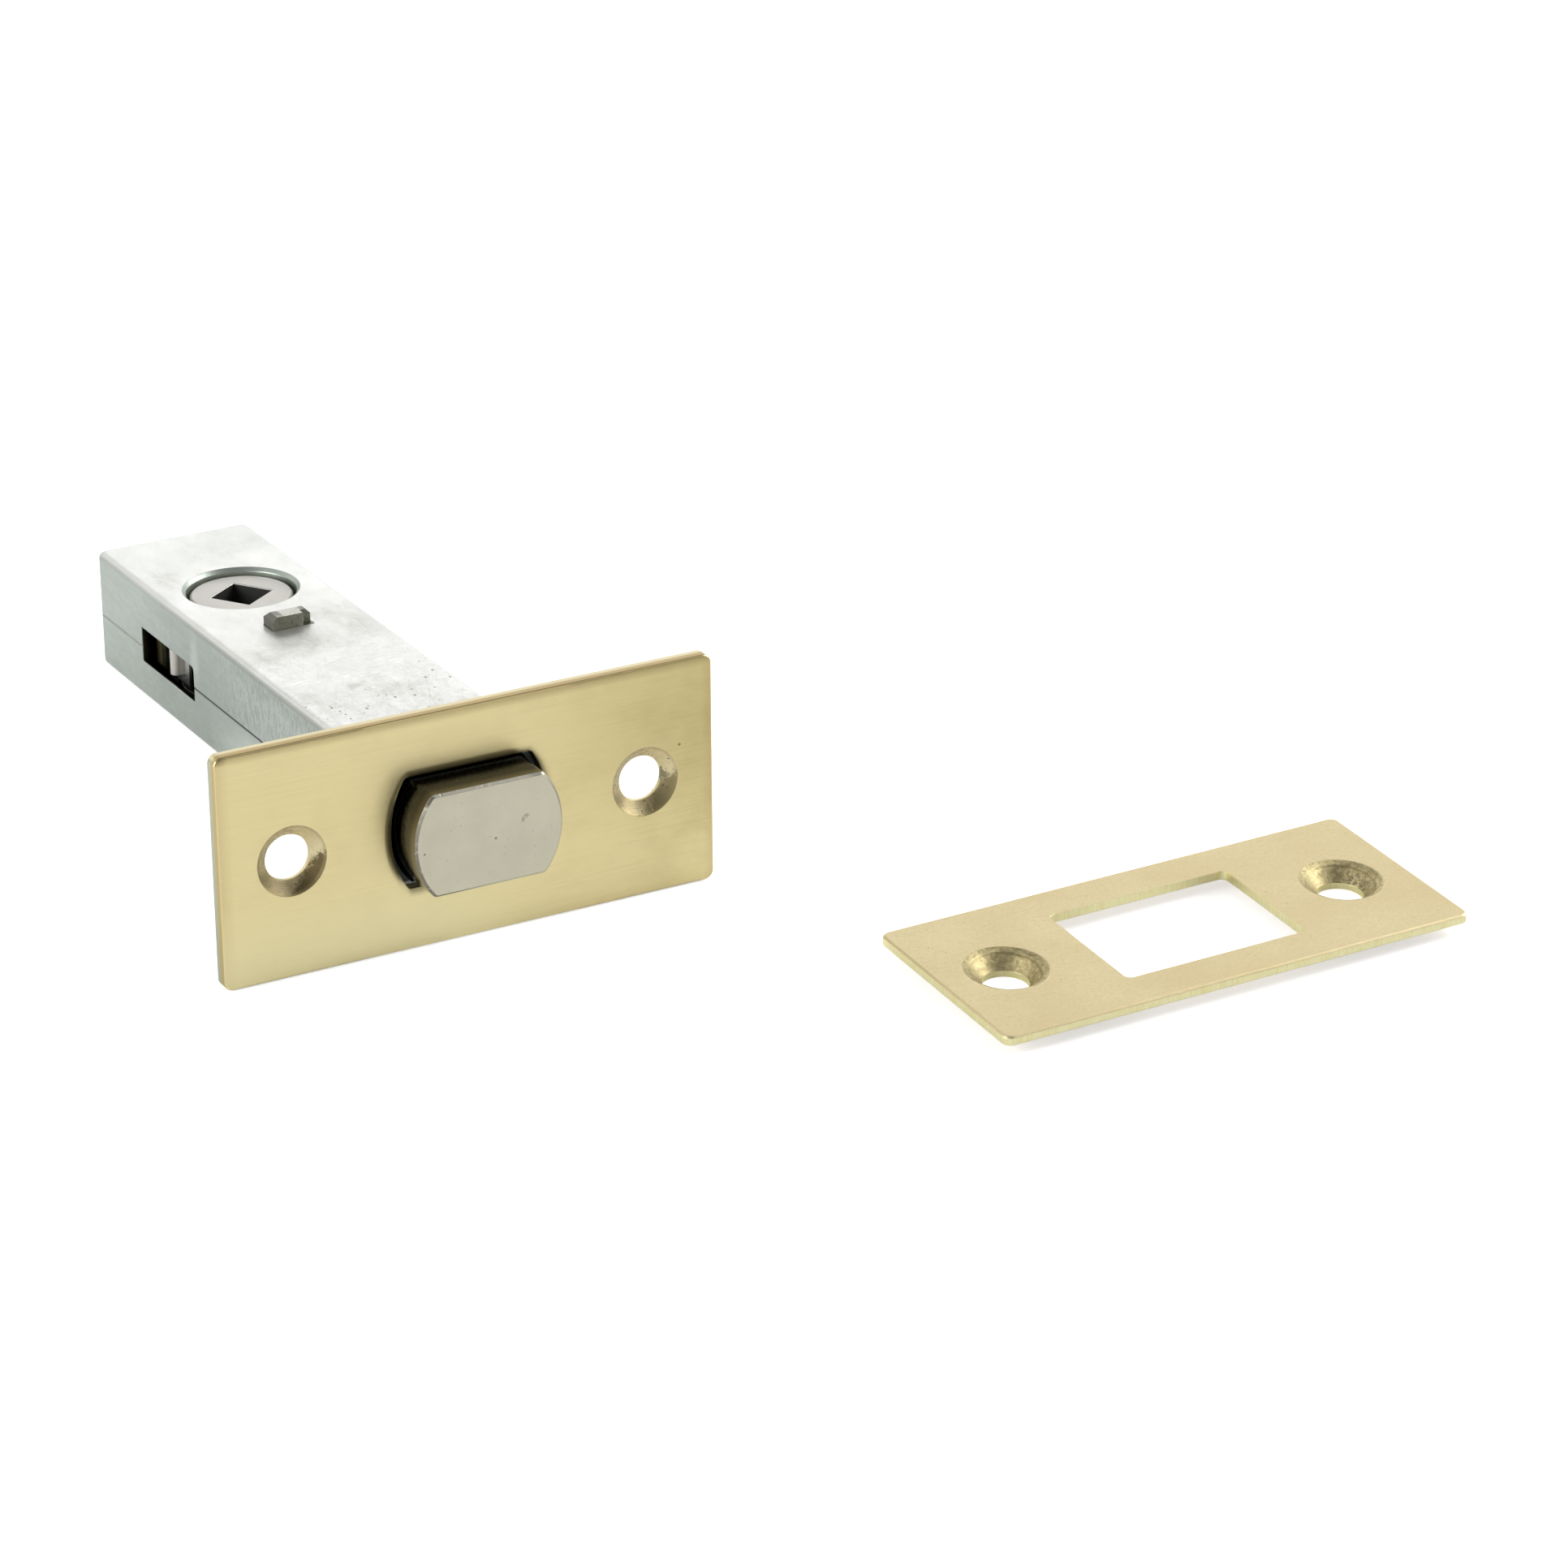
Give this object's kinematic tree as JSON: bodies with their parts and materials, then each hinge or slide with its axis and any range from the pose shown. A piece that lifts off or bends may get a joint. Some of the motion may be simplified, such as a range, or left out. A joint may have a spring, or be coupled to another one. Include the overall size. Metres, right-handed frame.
{
  "type": "bathroom deadbolt",
  "caption": "Tubular mortice deadbolt for a bathroom door, with a square follower in a cast case, a flat-sided bolt, a brass face plate and a separate strike plate.",
  "frame": {"origin": "centre of the face plate's front face, midway between its screw holes", "axes": "+X along the face plate, +Y into the door towards the rear of the case, +Z along the spindle; the bolt is thrown along -Y"},
  "size_m": [0.1231, 0.1227, 0.0289],
  "materials": {
    "plate_brass": "brushed",
    "strike_brass": "matte",
    "case_zinc": "satin cast",
    "bolt_nickel": "satin",
    "tail_steel": "yellow passivated",
    "pillar_steel": "satin",
    "follower_zinc": "satin cast",
    "spring_steel": "bright"
  },
  "bodies": {
    "case": {"face_plate": "plate_brass", "case_upper": "case_zinc", "case_lower": "case_zinc", "case_pillar": "pillar_steel", "detent_plunger": "spring_steel", "detent_spring": "spring_steel", "strike_plate": "strike_brass"},
    "bolt": {"bolt_head": "bolt_nickel", "bolt_tail": "tail_steel", "tail_pin": "pillar_steel"},
    "follower": {"follower": "follower_zinc"}
  },
  "joints": [
    {"name": "bolt_slide", "type": "slide", "parent": "case", "child": "bolt", "axis": [0, -1, 0], "range_m": [-0.00425, 0.00675]},
    {"name": "follower_turn", "type": "hinge", "parent": "case", "child": "follower", "pos_m": [0, 0.057, 0], "axis": [0, 0, 1], "range_deg": [-34.8, 55.2]}
  ],
  "couplings": [
    {"joint": "follower_turn", "follows": "bolt_slide", "rad_per_m": 142.8}
  ]
}
